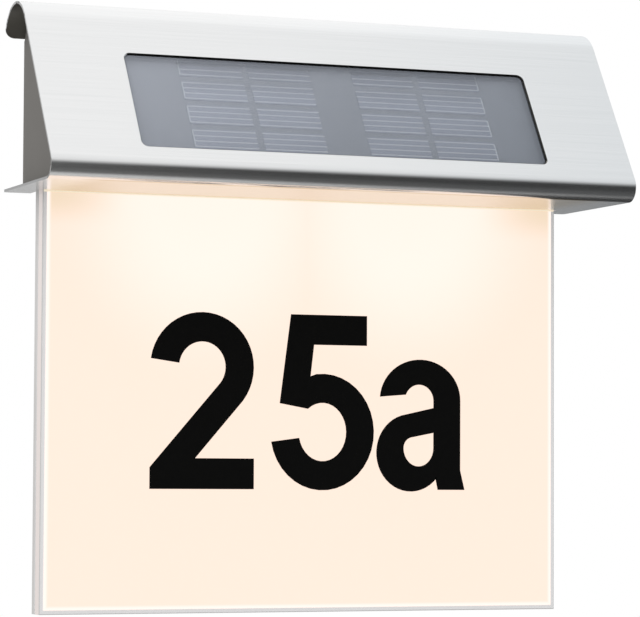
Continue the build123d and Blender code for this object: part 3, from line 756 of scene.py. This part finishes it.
bare_at_left, bare_at_right = 0.003, 0.0015
battery_low, battery_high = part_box("battery")
sleeve = Finish("cell_sleeve")
x, _, _ = sleeve.place_parts()
bare_ends = (x < battery_low.x + bare_at_left) + (x > battery_high.x - bare_at_right)
sleeve.tint(bare_ends, paint(70, 112, 96), paint(196, 196, 198))
sleeve.feed("Metallic", bare_ends)
sleeve.feed("Roughness", 0.3 + 0.05 * sleeve.noise(600))
wear("battery", sleeve)

# Studio. A pale floor and two big soft lamps, in a room that the camera sees as white. Shiny parts see
# it in greys, with a black card in front for the hood's dark bend, and dimmer at the far right.
floor_drop, floor_half, floor_strength, floor_clear = 1.6, 1.2, 0.7, 0.3
floor_level = screen_low.z - floor_drop
floor_corners = [
    (x * floor_half, y * floor_half, floor_level) for x, y in ((-1, -1), (1, -1), (1, 1), (-1, 1))
]
floor_mesh = bpy.data.meshes.new("floor")
floor_mesh.from_pydata(floor_corners, [], [(0, 1, 2, 3)])
floor = placed("floor", floor_mesh)
pale = Finish("pale_floor", roughness=0.9)
pale.tint(pale.noise(3), paint(232, 232, 232), paint(238, 238, 238))
x, y, _ = pale.place_parts()
pale.feed("Alpha", floor_strength * fade((x ** 2.0 + y ** 2.0) ** 0.5, floor_clear, floor_half))
floor_mesh.materials.append(pale.material)

world = bpy.data.worlds.new("studio")
bpy.context.scene.world = world
world.use_nodes = True
sky = NodeTree(world.node_tree)
direction = sky.node("ShaderNodeSeparateXYZ", {}, {0: sky.node("ShaderNodeTexCoord").output("Generated")})
height = (direction.output("Z") + 1.0) / 2.0


def greys(*stops):
    """Ramp of greys from straight down at 0 to straight up at 1."""
    colours = [(stop, (grey, grey, grey)) for stop, grey in stops]
    return sky.node("ShaderNodeValToRGB", {"stops": colours}, {0: height})


def mixed(share, first, second, way="MIX"):
    """Mix of two of the world's colours."""
    return sky.node(
        "ShaderNodeMix", {"data_type": "RGBA", "blend_type": way}, {"Factor": share, 6: first, 7: second}
    ).output(2)


def between(axis, low, high, edge):
    """1 where a direction's part along an axis lies between two values, with soft edges."""
    part = direction.output(axis)
    return fade(part, high, high + edge) * fade(part, low, low - edge)


all_round = greys((0.0, 0.30), (0.50, 0.32), (0.60, 0.62), (0.72, 0.80), (0.90, 0.84), (1.0, 0.95))
over_card = greys(
    (0.0, 0.10), (0.30, 0.03), (0.54, 0.02), (0.62, 0.26),
    (0.74, 0.76), (0.86, 0.86), (0.94, 0.89), (1.0, 0.98),
)
behind_left = greys(
    (0.0, 0.02), (0.30, 0.05), (0.42, 0.50), (0.50, 0.70), (0.58, 0.80), (0.70, 1.0), (1.0, 1.0)
)
behind_right = greys(
    (0.0, 0.02), (0.30, 0.05), (0.42, 0.18), (0.50, 0.34), (0.58, 0.65), (0.70, 1.0), (1.0, 1.0)
)
even_grey, dark, white = (0.62, 0.62, 0.62, 1), (0.02, 0.02, 0.02, 1), (1, 1, 1, 1)
dimmed = (0.79, 0.83, 0.86, 1)

far_right = between("X", 0.50, 1.0, 0.16)
card_side = between("X", 0.25, 0.62, 0.07)
card_front = between("Y", -1.1, -0.10, 0.20)
dark_patch = between("X", -0.55, -0.42, 0.10) * between("Y", 0.3, 1.1, 0.2)

behind = mixed(far_right, behind_left, behind_right)
card = mixed(card_front, behind, over_card)
room = mixed(card_side, all_round, card)
room = mixed(dark_patch, room, dark)
room = mixed(far_right, room, dimmed, "MULTIPLY")
rays = sky.node("ShaderNodeLightPath")
by_shine = rays.output("Is Glossy Ray").at_least(rays.output("Is Transmission Ray"))
light = mixed(by_shine, even_grey, room)
shown = mixed(rays.output("Is Camera Ray"), light, white)
sky.tree.links.new(shown.socket, sky.tree.nodes["Background"].inputs["Color"])


def softbox(name, stand, target, size, power):
    """Square area light that faces a point. Shiny surfaces show the room and not the light."""
    area = bpy.data.lights.new(name, "AREA")
    area.size = size
    area.energy = power
    box = placed(name, area)
    box.visible_glossy = False
    aim = (target - stand).to_track_quat("-Z", "Y").to_matrix().to_4x4()
    box.matrix_world = Matrix.Translation(stand) @ aim


middle = (cad_box[0] + cad_box[1]) / 2
softbox("upper_left", Vector((-1.3, -1.2, 1.2)), middle, size=2.6, power=19)
softbox("behind_right", Vector((1.8, 1.6, 0.9)), middle, size=2.6, power=50)
